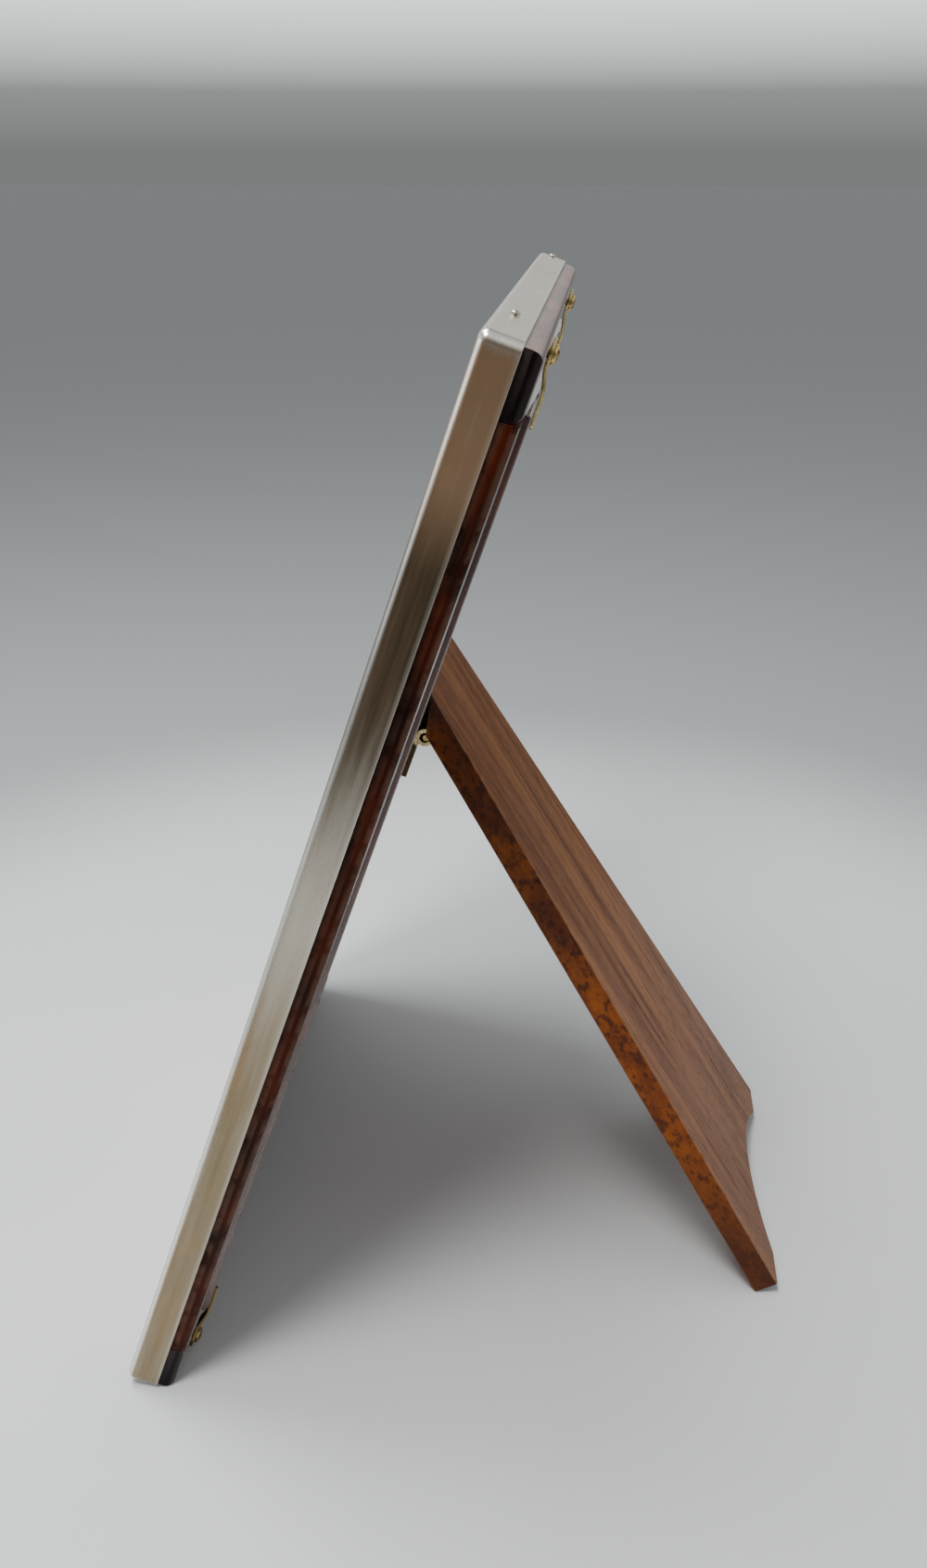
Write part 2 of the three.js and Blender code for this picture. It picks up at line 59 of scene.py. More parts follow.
# %% The panel's bench and the leg's bench
class Bench:
    """A piece's own upright frame in millimetres: x across, y from its front to its back, z up it."""

    def __init__(self, square_piece, corner_piece):
        facing = max(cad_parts[square_piece].data.polygons, key=lambda face: face.area).normal
        rearward = Vector((0, facing.y, facing.z)).normalized()
        if rearward.y < 0:
            rearward.negate()
        across = Vector((1, 0, 0))
        self.axes = (across, rearward, across.cross(rearward))
        self.origin = Vector((0, 0, 0))
        corner = self.reach(corner_piece)[0]
        self.origin = (self.axes[1] * corner.y + self.axes[2] * corner.z) * MM
        self.matrix = Matrix.Translation(self.origin) @ Matrix(self.axes).transposed().to_4x4()

    def points(self, piece):
        return [self.local(vertex.co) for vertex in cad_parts[piece].data.vertices]

    def local(self, point):
        return Vector([(Vector(point) - self.origin).dot(axis) / MM for axis in self.axes])

    def reach(self, piece):
        """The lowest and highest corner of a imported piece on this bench."""
        points = self.points(piece)
        low = Vector([min(p[i] for p in points) for i in range(3)])
        high = Vector([max(p[i] for p in points) for i in range(3)])
        return low, high


panel = Bench("window_glass", "silver_cover")
prop = Bench("easel_leg", "easel_leg")
LEAN = math.degrees(math.asin(panel.axes[2].y))
print("the picture leans back", round(LEAN, 2), "degrees")
print("the leg leans forward", round(math.degrees(math.asin(-prop.axes[2].y)), 2), "degrees")

# %% [markdown]
# ## Finishes as arithmetic
# A surface finish is a sum of thin effects: a base tone, grain or brushing, dirt in the hollows and
# bright worn edges. Written as nodes that is a tangle of wires, so a number that changes over the
# surface is wrapped in a small class whose plus, minus and times add the Math nodes. Texture
# coordinates come from the piece itself, in its bench's millimetres, so grain runs the way the wood
# was cut and stays with the piece when it moves.


# %% A number that changes over a surface
class Level:
    """Wraps a node's output. Arithmetic on it adds Math nodes to the same finish."""

    def __init__(self, finish, socket):
        self.finish = finish
        self.socket = socket

    def maths(self, operation, first, second=0.0):
        node = self.finish.add("ShaderNodeMath", {"operation": operation}, {0: first, 1: second})
        return Level(self.finish, node.outputs[0])

    def __add__(self, other):
        return self.maths("ADD", self, other)

    __radd__ = __add__

    def __sub__(self, other):
        return self.maths("SUBTRACT", self, other)

    def __rsub__(self, other):
        return self.maths("SUBTRACT", other, self)

    def __mul__(self, other):
        return self.maths("MULTIPLY", self, other)

    __rmul__ = __mul__

    def __abs__(self):
        return self.maths("ABSOLUTE", self)

    def over(self, other):
        """1 where this number is the larger."""
        return self.maths("GREATER_THAN", self, other)

    def most(self, other):
        return self.maths("MAXIMUM", self, other)

    def rising(self, low, high):
        """0 below low, 1 above high and a soft step between. With high under low it falls instead."""
        settings = {"interpolation_type": "SMOOTHSTEP"}
        inputs = {0: self, 1: min(low, high), 2: max(low, high), 3: 0.0, 4: 1.0}
        if low > high:
            inputs[3], inputs[4] = 1.0, 0.0
        node = self.finish.add("ShaderNodeMapRange", settings, inputs)
        return Level(self.finish, node.outputs[0])


def tone(red, green, blue):
    """A colour as on a paint chart, 0 to 255 for each part, made linear for the shader."""
    parts = [c / 255 for c in (red, green, blue)]
    linear = [c / 12.92 if c <= 0.04045 else ((c + 0.055) / 1.055) ** 2.4 for c in parts]
    return (*linear, 1.0)


# %% A finish and the effects it is made from
class Finish:
    """One material, built from expressions."""

    def __init__(self, name):
        self.material = bpy.data.materials.new(name)
        self.material.use_nodes = True
        self.tree = self.material.node_tree
        self.tree.nodes.clear()
        place = self.add("ShaderNodeTexCoord")
        self.spot = self.vectors("SCALE", {0: place.outputs["Object"], 3: 1 / MM})
        parts = self.add("ShaderNodeSeparateXYZ", None, {0: self.spot})
        self.x, self.y, self.z = (Level(self, socket) for socket in parts.outputs)

    def add(self, kind, settings=None, inputs=None):
        node = self.tree.nodes.new(kind)
        for name, value in (settings or {}).items():
            setattr(node, name, value)
        for name, value in (inputs or {}).items():
            value = value.socket if isinstance(value, Level) else value
            if isinstance(value, bpy.types.NodeSocket):
                self.tree.links.new(value, node.inputs[name])
            else:
                node.inputs[name].default_value = value
        return node

    def vectors(self, operation, inputs):
        return self.add("ShaderNodeVectorMath", {"operation": operation}, inputs).outputs[0]

    def stretched(self, x, y, z):
        """The piece's coordinates with each axis squeezed or drawn out."""
        return self.vectors("MULTIPLY", {0: self.spot, 1: (x, y, z)})

    def bent(self, where, amount, size):
        """Coordinates pushed about by a slow noise, so that straight grain wanders."""
        inputs = {"Vector": self.spot, "Scale": 1 / size, "Detail": 2.0}
        drift = self.add("ShaderNodeTexNoise", None, inputs).outputs["Color"]
        centred = self.vectors("SUBTRACT", {0: drift, 1: (0.5, 0.5, 0.5)})
        push = self.vectors("SCALE", {0: centred, 3: amount})
        return self.vectors("ADD", {0: where, 1: push})

    def cloud(self, size, detail=3.0, rough=0.55, where=None):
        """Soft noise from 0 to 1 whose lumps are about this many millimetres apart."""
        inputs = {"Vector": where or self.spot, "Scale": 1 / size, "Detail": detail, "Roughness": rough}
        return Level(self, self.add("ShaderNodeTexNoise", None, inputs).outputs[0])

    def cells(self, size, where=None, feature="F1"):
        """Distance from scattered points, or from the borders between their cells."""
        inputs = {"Vector": where or self.spot, "Scale": 1 / size}
        node = self.add("ShaderNodeTexVoronoi", {"feature": feature}, inputs)
        return Level(self, node.outputs["Distance"])

    def near(self, point, radius):
        """1 at a point of the piece, fading to 0 at the radius."""
        node = self.add("ShaderNodeVectorMath", {"operation": "DISTANCE"}, {0: self.spot, 1: point})
        return Level(self, node.outputs["Value"]).rising(radius, 0.0)

    def worn(self):
        """1 on the rounded edges, from the mark that each mesh carries."""
        return Level(self, self.add("ShaderNodeAttribute", {"attribute_name": "arris"}).outputs["Fac"])

    def mix(self, share, first, second):
        node = self.add("ShaderNodeMix", {"data_type": "RGBA"}, {0: share, 6: first, 7: second})
        return node.outputs[2]

    def relief(self, height, depth, under=None):
        """A normal for a surface whose height map spans this many millimetres."""
        inputs = {"Height": height, "Distance": depth * MM, "Strength": 1.0}
        if under is not None:
            inputs["Normal"] = under
        return self.add("ShaderNodeBump", None, inputs).outputs[0]

    def done(self, **sockets):
        """Closes the finish with one Principled surface. Socket names use _ for a space."""
        inputs = {name.replace("_", " "): value for name, value in sockets.items()}
        shader = self.add("ShaderNodeBsdfPrincipled", None, inputs)
        self.out(shader.outputs[0])
        return self.material

    def out(self, shader):
        self.add("ShaderNodeOutputMaterial", None, {0: shader})


# %% [markdown]
# ## Meshes
# Cabinet work is made of sawn blocks, drawn strips and turned rods whose edges are eased by hand.
# Primitives with a bevel modifier would do for one block, but holes and slots need clean edges too, so
# every piece is written as a bmesh: a block, a drawn profile or a turning, with chosen edges rounded.


# %% Blocks, drawn strips and turnings
def block(low, high):
    mesh = bmesh.new()
    middle, size = (Vector(low) + Vector(high)) / 2, Vector(high) - Vector(low)
    bmesh.ops.create_cube(mesh, matrix=Matrix.Translation(middle) @ Matrix.Diagonal((*size, 1)))
    return mesh


def prism(outline, start, end, place):
    """A closed outline of pairs made solid. place turns a pair and a distance into a point."""
    mesh = bmesh.new()
    rows = [[mesh.verts.new(place(a, b, at)) for a, b in outline] for at in (start, end)]
    for i in range(len(outline)):
        j = (i + 1) % len(outline)
        mesh.faces.new((rows[0][i], rows[0][j], rows[1][j], rows[1][i]))
    mesh.faces.new(rows[0][::-1])
    mesh.faces.new(rows[1])
    bmesh.ops.recalc_face_normals(mesh, faces=mesh.faces)
    return mesh


def across(outline, start, end):
    """A profile of (depth, height) drawn across the piece."""
    return prism(outline, start, end, lambda y, z, x: (x, y, z))


def through(outline, start, end):
    """An outline of (across, height) cut through from one depth to another."""
    return prism(outline, start, end, lambda x, z, y: (x, y, z))


def lathe(profile, centre, axis="y", steps=40):
    """A turning from (radius, distance) pairs, round an axis through the centre."""
    mesh = bmesh.new()
    rings = []
    for radius, along in profile:
        ring = []
        for k in range(steps if radius > 0 else 1):
            a = 2 * math.pi * k / steps
            u, v = radius * math.cos(a), radius * math.sin(a)
            offset = {"x": (along, u, v), "y": (u, along, v), "z": (u, v, along)}[axis]
            ring.append(mesh.verts.new(Vector(centre) + Vector(offset)))
        rings.append(ring)
    for one, two in zip(rings, rings[1:]):
        for k in range(steps):
            n = (k + 1) % steps
            corners = [one[k % len(one)], one[n % len(one)], two[n % len(two)], two[k % len(two)]]
            mesh.faces.new(list(dict.fromkeys(corners)))
    bmesh.ops.recalc_face_normals(mesh, faces=mesh.faces)
    return mesh


# %% Easing edges, carving and joining
def ease(mesh, radius, chosen=None, segments=3):
    """Rounds the edges whose two ends both pass the test, or every sharp edge."""
    mesh.normal_update()
    edges = [
        edge for edge in mesh.edges
        if len(edge.link_faces) == 2 and edge.calc_face_angle(0) > 0.5
        and (chosen is None or all(chosen(vertex.co) for vertex in edge.verts))
    ]
    bmesh.ops.bevel(mesh, geom=edges, offset=radius, segments=segments, profile=0.5, affect="EDGES")
    return mesh


def as_object(mesh, name="blank"):
    data = bpy.data.meshes.new(name)
    mesh.to_mesh(data)
    mesh.free()
    made = bpy.data.objects.new(name, data)
    bpy.context.scene.collection.objects.link(made)
    return made


def carve(mesh, cutters):
    """Cuts a list of solids out of a mesh."""
    work = as_object(mesh)
    tools = [as_object(cutter) for cutter in cutters]
    for tool in tools:
        step = work.modifiers.new("step", "BOOLEAN")
        step.operation = "DIFFERENCE"
        step.solver = "EXACT"
        step.object = tool
    bpy.context.view_layer.update()
    result = bmesh.new()
    result.from_object(work, bpy.context.evaluated_depsgraph_get())
    for used in [work, *tools]:
        bpy.data.objects.remove(used)
    return result


def joined(meshes):
    """Several separate solids kept as one mesh."""
    whole = bmesh.new()
    for mesh in meshes:
        data = bpy.data.meshes.new("part")
        mesh.to_mesh(data)
        mesh.free()
        whole.from_mesh(data)
        bpy.data.meshes.remove(data)
    return whole


# %% Putting a finished piece in its place
def settle(name, mesh, finishes, node, body="frame", bench=panel):
    """Marks the worn edges, moves the piece from its bench to the shared frame, hangs it on its body and
    hides the imported piece.
    """
    made = as_object(mesh, name)
    data = made.data
    marks = data.attributes.new("arris", "FLOAT", "POINT")
    for vertex in data.vertices:
        second = sorted(abs(part) for part in vertex.normal)[1]
        marks.data[vertex.index].value = min(1, max(0, (second - 0.3) / 0.3))
    data.transform(Matrix.Scale(MM, 4))
    data.shade_smooth()
    data.set_sharp_from_angle(angle=math.radians(38))
    even = made.modifiers.new("even shading", "WEIGHTED_NORMAL")
    even.keep_sharp = True
    for finish in finishes:
        data.materials.append(finish)
    made.matrix_world = bench.matrix
    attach(made, body)
    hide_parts(node)
    return made


# %% [markdown]
# ## The silver cover
# On the real frame one sheet, about half a millimetre thick, is drawn over a former: flat in front,
# rolled over the front edges, and wrapped back along the sides. A solidified plane would give even
# walls but no control over the rolled window edge, so the sheet is lofted from rings, each a rounded
# rectangle at its own inset and depth, and the last ring closes on the first. The rings are cut finely
# along their sides, because hand-raised silver is never quite flat and the light shows it.

# %% Silver that has been polished for a century
COVER_SHEET = 0.6
COVER_BORDER = 24
FRONT_RADIUS = 1.9
CORNER_RADIUS = 2.4
WINDOW_RADIUS = 2

cover_low, cover_high = panel.reach("silver_cover")
cover_half = cover_high.x
cover_middle = (cover_low.z + cover_high.z) / 2


def polished_silver():
    silver = Finish("polished_silver")
    from_end = cover_high.z / 2 - abs(silver.z - cover_middle)
    from_side = cover_half - abs(silver.x)
    on_side_member = from_end.over(from_side)
    upright = silver.cloud(1, 2, 0.6, silver.stretched(3.5, 3.5, 0.035))
    level = silver.cloud(1, 2, 0.6, silver.stretched(0.035, 3.5, 3.5))
    brushed = upright * on_side_member + level * (1 - on_side_member)
    streak = silver.cloud(1, 3, 0.6, silver.stretched(0.3, 0.35, 0.022))
    patch = silver.cloud(34, 4, 0.6, silver.stretched(1, 1.4, 0.5))
    # Painted reflection: the top of the near side is painted warm brown, added to the real tarnish
    # patches.
    upper = silver.z.rising(cover_high.z * 0.62, cover_high.z * 0.8) * silver.x.rising(90, 99)
    upper = upper * silver.z.rising(cover_high.z - 0.3, cover_high.z - 5)
    tarnish_and_reflection = (patch + streak * 0.6 - 0.32 + upper * 0.52).rising(0.42, 1.0)
    # Painted reflection: a dark band across the upper near side, painted into the colour.
    painted_dark_reflection = silver.z.rising(160, 222) * silver.z.rising(274, 250) * silver.x.rising(80, 98)
    painted_dark_reflection = painted_dark_reflection * (0.6 + streak * 0.8)
    spots = silver.cells(9, silver.bent(silver.spot, 7, 5)).rising(0.16, 0.05)
    spots = spots * silver.cloud(20).rising(0.5, 0.66)
    wandering = silver.bent(silver.stretched(1, 1, 0.4), 9, 30)
    hairline = silver.cells(21, wandering, "DISTANCE_TO_EDGE").rising(0.008, 0.0)
    hairline = hairline * silver.cloud(15).rising(0.52, 0.62)
    worn = silver.worn()
    # Painted reflection: the lower near side is painted darker.
    painted_dark_lower = silver.z.rising(190, 110) * silver.x.rising(80, 98)
    clean = silver.mix(brushed * 0.7, tone(224, 217, 202), tone(184, 175, 156))
    clean = silver.mix(painted_dark_lower * (0.68 + streak * 0.5), clean, tone(124, 109, 84))
    warm = silver.mix(tarnish_and_reflection * 0.85, clean, tone(176, 134, 96))
    dark = silver.mix(painted_dark_reflection * 0.88, warm, tone(84, 72, 56))
    spotted = silver.mix(spots * 0.5, dark, tone(150, 118, 108))
    colour = silver.mix(worn * 0.8, spotted, tone(245, 243, 236))
    rough = 0.2 + brushed * 0.14 + tarnish_and_reflection * 0.1 + spots * 0.12 + hairline * 0.2 - worn * 0.05
    dents = silver.cloud(19, 1).rising(0.35, 0.7) + silver.near((cover_half, 2.6, 97), 2.2) * 2
    dents = dents + silver.near((cover_half, 6.2, 91), 1.6) * 1.4
    shallow = silver.relief(dents, 0.06)
    combed = silver.relief(brushed - hairline * 0.8, 0.006, shallow)
    return silver.done(Base_Color=colour, Metallic=1.0, Roughness=rough, Normal=combed)


SILVER = polished_silver()
print("silver ready")


# %% The sheet, lofted from rings
def ring(inset, depth, radius):
    """A rounded rectangle inset from the cover's outside, with fine steps along its sides."""
    half, low, high = cover_half - inset, cover_low.z + inset, cover_high.z - inset
    corners = [
        (half - radius, low + radius, -90, 56), (half - radius, high - radius, 0, 38),
        (radius - half, high - radius, 90, 56), (radius - half, low + radius, 180, 38),
    ]
    points = []
    for i, (x, z, start, steps) in enumerate(corners):
        for k in range(8):
            a = math.radians(start + 90 * k / 7)
            points.append(Vector((x + radius * math.cos(a), depth, z + radius * math.sin(a))))
        to_x, to_z, turned, _ = corners[(i + 1) % 4]
        a = math.radians(turned)
        last = points[-1]
        following = Vector((to_x + radius * math.cos(a), depth, to_z + radius * math.sin(a)))
        points.extend(last.lerp(following, k / steps) for k in range(1, steps))
    return points


def silver_sheet():
    rear = cover_high.y
    lip = 0.16
    sections = [(lip, rear, CORNER_RADIUS - lip), (0, rear - lip, CORNER_RADIUS)]
    sections += [(0, rear - (rear - FRONT_RADIUS) * k / 6, CORNER_RADIUS) for k in range(1, 6)]
    for k in range(8):
        a = math.radians(90 * k / 7)
        inset, depth = FRONT_RADIUS * (1 - math.cos(a)), FRONT_RADIUS * (1 - math.sin(a))
        sections.append((inset, depth, CORNER_RADIUS - inset))
    roll = 0.5
    for k in range(1, 6):
        share = k / 5
        inset = FRONT_RADIUS + (COVER_BORDER - roll - FRONT_RADIUS) * share
        sections.append((inset, 0, 0.5 + (WINDOW_RADIUS - 0.5) * share))
    for k in range(1, 4):
        a = math.radians(30 * k)
        inset = COVER_BORDER - roll * (1 - math.sin(a))
        sections.append((inset, roll * (1 - math.cos(a)), WINDOW_RADIUS))
    sections += [
        (COVER_BORDER, COVER_SHEET + 0.15, WINDOW_RADIUS),
        (COVER_BORDER - 0.4, COVER_SHEET + 0.15, WINDOW_RADIUS),
        (COVER_BORDER - 1, COVER_SHEET, WINDOW_RADIUS),
        (FRONT_RADIUS, COVER_SHEET, 0.6),
        (COVER_SHEET, FRONT_RADIUS, CORNER_RADIUS - COVER_SHEET),
        (COVER_SHEET, rear - lip, CORNER_RADIUS - COVER_SHEET),
        (COVER_SHEET - lip, rear, CORNER_RADIUS - COVER_SHEET + lip),
    ]
    mesh = bmesh.new()
    rows = []
    for inset, depth, radius in sections:
        row = []
        for point in ring(inset, depth, radius):
            if inset < COVER_SHEET and depth > FRONT_RADIUS:
                outward = Vector((point.x, 0, (point.z - cover_middle) * cover_half / cover_middle))
                point = point - outward.normalized() * (0.05 + 0.05 * noise.noise(point / 26))
            row.append(mesh.verts.new(point))
        rows.append(row)
    for one, two in zip(rows, rows[1:] + rows[:1]):
        for i in range(len(one)):
            j = (i + 1) % len(one)
            mesh.faces.new((one[i], one[j], two[j], two[i]))
    bmesh.ops.recalc_face_normals(mesh, faces=mesh.faces)
    return mesh


settle("cover_sheet", silver_sheet(), [SILVER], "silver_cover")
print("cover: sheet of", COVER_SHEET, "mm, window", 2 * (cover_half - COVER_BORDER), "mm wide")

# %% [markdown]
# ## Dark wood for the frame
# Rails and stiles are a close-grained reddish hardwood under old polish, nearly black in the rails. An
# image would tile and show seams at the joints. Noise drawn out along the grain gives each stick its
# own figure, and the same recipe turned on its side serves the rails, which run the other way.


# %% Polished frame timber, its grain along x or z
def frame_timber(name, along, deep, light, mottle, polish=0.0):
    """polish runs from 0, a dull rubbed side, to 1, a face under old French polish."""
    wood = Finish(name)

    def drawn(with_grain, cross):
        return wood.stretched(*{"x": (with_grain, cross, cross), "z": (cross, cross, with_grain)}[along])

    fibres = wood.cloud(0.8, 3, 0.6, wood.bent(drawn(0.05, 1.5), 0.8, 22))
    figure = wood.cloud(7, 4, 0.6, drawn(0.35, 1))
    pores = wood.cloud(0.33, 2, 0.7, drawn(0.12, 1.5)).rising(0.6, 0.72)
    grime = wood.cloud(30, 3).rising(0.45, 0.75)
    body = wood.mix((fibres * 0.5 + figure * 1.1 - 0.35).rising(0.2, 0.75), deep, light)
    flecked = wood.mix(pores * mottle, body, tone(20, 5, 2))
    dusty = wood.mix(grime * 0.1, flecked, tone(64, 44, 32))
    worn = wood.worn() * wood.cloud(5, 3).rising(0.3, 0.6)
    colour = wood.mix(worn * 0.4, dusty, tone(128, 98, 80))
    rough = 0.46 - 0.28 * polish + pores * 0.15 + grime * 0.1 + worn * 0.1
    relief = wood.relief(fibres * 0.5 - pores, 0.025)
    return wood.done(
        Base_Color=colour, Roughness=rough, Normal=relief, Specular_IOR_Level=0.07 + 0.5 * polish,
        Coat_Weight=0.9 * polish, Coat_Roughness=0.08,
    )


# The stiles' sides: dark red-brown wood, its tones darkened further as painted shade.
STILE_SIDE_SHADED = frame_timber("stile_side_shaded", "z", tone(18, 4, 1), tone(72, 23, 5), 0.6)
STILE_BACK = frame_timber("stile_back", "z", tone(40, 12, 7), tone(92, 40, 22), 0.5, 1.0)
RAIL_WOOD = frame_timber("rail_wood", "x", tone(38, 18, 12), tone(98, 60, 42), 0.5, 0.45)
RAIL_BACK = frame_timber("rail_back", "x", tone(40, 14, 8), tone(92, 44, 26), 0.5, 1.0)


def end_grain():
    """The rails' sawn ends: nearly black, with pores and faint growth lines."""
    wood = Finish("rail_end_grain")
    rings = wood.cloud(1.2, 2, 0.5, wood.bent(wood.stretched(0.2, 1, 0.25), 1.2, 9))
    pores = wood.cells(0.45).rising(0.34, 0.16)
    colour = wood.mix(rings.rising(0.35, 0.7), tone(8, 4, 4), tone(22, 13, 12))
    colour = wood.mix(pores * 0.5, colour, tone(8, 6, 6))
    colour = wood.mix(wood.worn() * 0.22, colour, tone(92, 82, 80))
    rough = 0.34 + pores * 0.25
    relief = wood.relief(rings - pores, 0.03)
    return wood.done(Base_Color=colour, Roughness=rough, Normal=relief, Specular_IOR_Level=0.08)


END_GRAIN = end_grain()
print("frame timber ready")

# %% [markdown]
# ## Rails and stiles
# The rails run the full width and the stiles stand between them, so the sides show two joint lines.
# Only the rear outer edges were planed round. The front edges tuck under the rolled silver, so they are
# eased by more than they show, and the joint faces stay crisp to leave a dark hairline.

# %% Four sticks of timber
REAR_ARRIS = 2.4
TUCK = 1.3
BEHIND_COVER = 9


def stick(node):
    low, high = panel.reach(node)
    wood_low, wood_high = panel.reach("bottom_rail")[0], panel.reach("top_rail")[1]
    near = 0.02

    def outside(point):
        beside = abs(point.x) > wood_high.x - near
        return beside or not wood_low.z + near < point.z < wood_high.z - near

    mesh = block(low, high)
    ease(mesh, REAR_ARRIS, lambda p: p.y > high.y - near and outside(p), 6)
    ease(mesh, TUCK, lambda p: p.y < low.y + near and outside(p), 3)
    ease(mesh, 0.22, lambda p: low.y + 1.5 < p.y or not outside(p), 2)
    for vertex in mesh.verts:
        if outside(vertex.co) and vertex.co.y > BEHIND_COVER:
            vertex.co.y -= 0.02 + 0.02 * noise.noise(vertex.co / 9)
    return mesh


for node in ("top_rail", "bottom_rail", "left_stile", "right_stile"):
    is_rail = node.endswith("rail")
    finishes = [RAIL_WOOD, RAIL_BACK, END_GRAIN] if is_rail else [STILE_SIDE_SHADED, STILE_BACK]
    made = settle(node + "_wood", stick(node), finishes, node)
    for face in made.data.polygons:
        face.material_index = int(face.normal.y > 0.92)
        if is_rail and abs(face.normal.x) > 0.6:
            face.material_index = 2
print("frame wood rear face at", round(panel.reach("top_rail")[1].y, 2), "mm behind the front")

# %% [markdown]
# ## What the frame holds
# Behind the window lie glass, a bevel-cut card mount, an empty print, a brown backing card and the
# polished back board. Real glass bends light very little in a sheet this thin, and a refracting shader
# would darken the print at few samples, so the pane mixes a clear film with a gloss that grows at
# grazing angles, as a window does.


# %% Glass, card, print and board finishes
def window_glass_finish():
    glass = Finish("window_glass")
    dust = glass.cloud(12, 4, 0.7).rising(0.5, 0.8) * 0.05
    clear = glass.add("ShaderNodeBsdfTransparent", None, {0: (0.96, 0.98, 0.97, 1)})
    rough = 0.03 + glass.cloud(8, 3).rising(0.45, 0.8) * 0.05
    gloss = glass.add(
        "ShaderNodeBsdfPrincipled", None,
        {"Base Color": (0.97, 0.98, 0.98, 1), "Roughness": rough, "Metallic": 1.0},
    )
    turned = Level(glass, glass.add("ShaderNodeLayerWeight", None, {0: 0.5}).outputs["Facing"])
    share = turned.maths("POWER", turned, 5.0) * 0.9 + 0.04 + dust * 0.5
    film = glass.add("ShaderNodeMixShader", None, {0: share, 1: clear.outputs[0], 2: gloss.outputs[0]})
    glass.out(film.outputs[0])
    return glass.material


def paper_finish(name, light, dark, size, roughness, depth):
    paper = Finish(name)
    fibre = paper.cloud(size, 5, 0.7)
    foxing = paper.cells(26, paper.bent(paper.spot, 14, 9)).rising(0.2, 0.02)
    foxing = foxing * paper.cloud(18).rising(0.45, 0.65)
    age = paper.cloud(60, 3).rising(0.35, 0.75)
    colour = paper.mix(age * 0.5 + fibre * 0.3, light, dark)
    colour = paper.mix(foxing * 0.4, colour, tone(150, 112, 70))
    rough = roughness + fibre * 0.1
    return paper.done(Base_Color=colour, Roughness=rough, Normal=paper.relief(fibre, depth))


GLASS = window_glass_finish()
MOUNT_CARD = paper_finish("mount_card", tone(228, 220, 200), tone(205, 193, 166), 0.5, 0.8, 0.02)
PRINT_PAPER = paper_finish("print_paper", tone(176, 160, 134), tone(132, 112, 88), 2.2, 0.4, 0.004)
BACKING_CARD = paper_finish("backing_card", tone(152, 132, 104), tone(120, 100, 76), 0.8, 0.85, 0.04)
BOARD_WOOD = frame_timber("board_wood", "z", tone(52, 16, 9), tone(112, 54, 32), 0.55, 1.0)


# %% Glass, mount, print, backing and board
def layer(name, node, finish, edge, steps):
    settle(name, ease(block(*panel.reach(node)), edge, None, steps), [finish], node)


def mount_with_bevel():
    """The card is cut at 45 degrees, so its white core shows round the opening."""
    low, high = panel.reach("mount_card")
    points = panel.points("mount_card")
    middle = (low.z + high.z) / 2
    half_width = min(abs(p.x) for p in points)
    half_height = min(abs(p.z - middle) for p in points)
    mesh = block(low, high)
    slant = high.y - low.y
    opening = bmesh.new()
    rows = []
    for grow, depth in ((slant + 1, low.y - 1), (-1, high.y + 1)):
        a, b = half_width + grow, half_height + grow
        square = ((a, b), (-a, b), (-a, -b), (a, -b))
        rows.append([opening.verts.new((x, depth, middle + z)) for x, z in square])
    for i in range(4):
        opening.faces.new((rows[0][i], rows[0][(i + 1) % 4], rows[1][(i + 1) % 4], rows[1][i]))
    opening.faces.new(rows[0])
    opening.faces.new(rows[1][::-1])
    bmesh.ops.recalc_face_normals(opening, faces=opening.faces)
    return carve(mesh, [opening])


layer("glass_pane", "window_glass", GLASS, 0.15, 2)
settle("card_mount", mount_with_bevel(), [MOUNT_CARD], "mount_card")
layer("paper_print", "photo_print", PRINT_PAPER, 0.1, 1)
layer("card_backing", "backing_card", BACKING_CARD, 0.3, 2)
layer("back_board_panel", "back_board", BOARD_WOOD, 0.5, 3)
proud = panel.reach("back_board")[1].y - panel.reach("top_rail")[1].y
print("back board stands", round(proud, 2), "mm behind the rails")

# %% [markdown]
# ## Brass
# The buttons and screws are yellow brass, bright where fingers turn them. Low down they are painted dark,
# a painted shade for the shadow under the frame. The hinge leaves have gone brown, while the knuckles,
# rubbed as the leg swings, stay pale. One recipe makes them all: a patina, masks for how much is left,
# and that shade.


# %% Brass with a patina
def brass_finish(name, bright, patina, amount, axis=None):
    """Round an axis, if one is given, the brass is rubbed bright. Otherwise all that is low is painted
    dark: painted shade.
    """
    brass = Finish(name)
    cloudy = brass.cloud(3.5, 4, 0.65)
    fine = brass.cloud(0.25, 2, 0.6, brass.stretched(1, 1, 0.15))
    film = (cloudy + amount).rising(0.6, 1.05)
    if axis is None:
        # Painted shade: brass below 60 mm is painted dark, whatever its patina.
        film = film.most(brass.z.rising(60, 20) * 0.97)
    else:
        up, back = brass.z - axis.z, brass.y - axis.y
        rubbed = (up * up + back * back).rising(16.0, 7.5)
        film = film.most((1 - rubbed) * 0.92)
    worn = brass.worn()
    film = film * (1 - worn * 0.6)
    pits = brass.cells(0.8).rising(0.18, 0.05) * cloudy.rising(0.5, 0.7)
    colour = brass.mix(film, bright, patina)
    colour = brass.mix(pits * 0.6, colour, tone(50, 34, 20))
    rough = 0.2 + film * 0.28 + fine * 0.1 + pits * 0.1
    relief = brass.relief(fine * 0.35 + cloudy - pits, 0.02)
    return brass.done(Base_Color=colour, Metallic=1.0, Roughness=rough, Normal=relief)


BUTTON_BRASS = brass_finish("button_brass", tone(214, 190, 128), tone(96, 72, 42), 0.22)
SCREW_BRASS = brass_finish("screw_brass", tone(210, 184, 124), tone(92, 66, 40), 0.26)
PIN_METAL = brass_finish("pin_metal", tone(190, 184, 172), tone(96, 88, 78), 0.2)

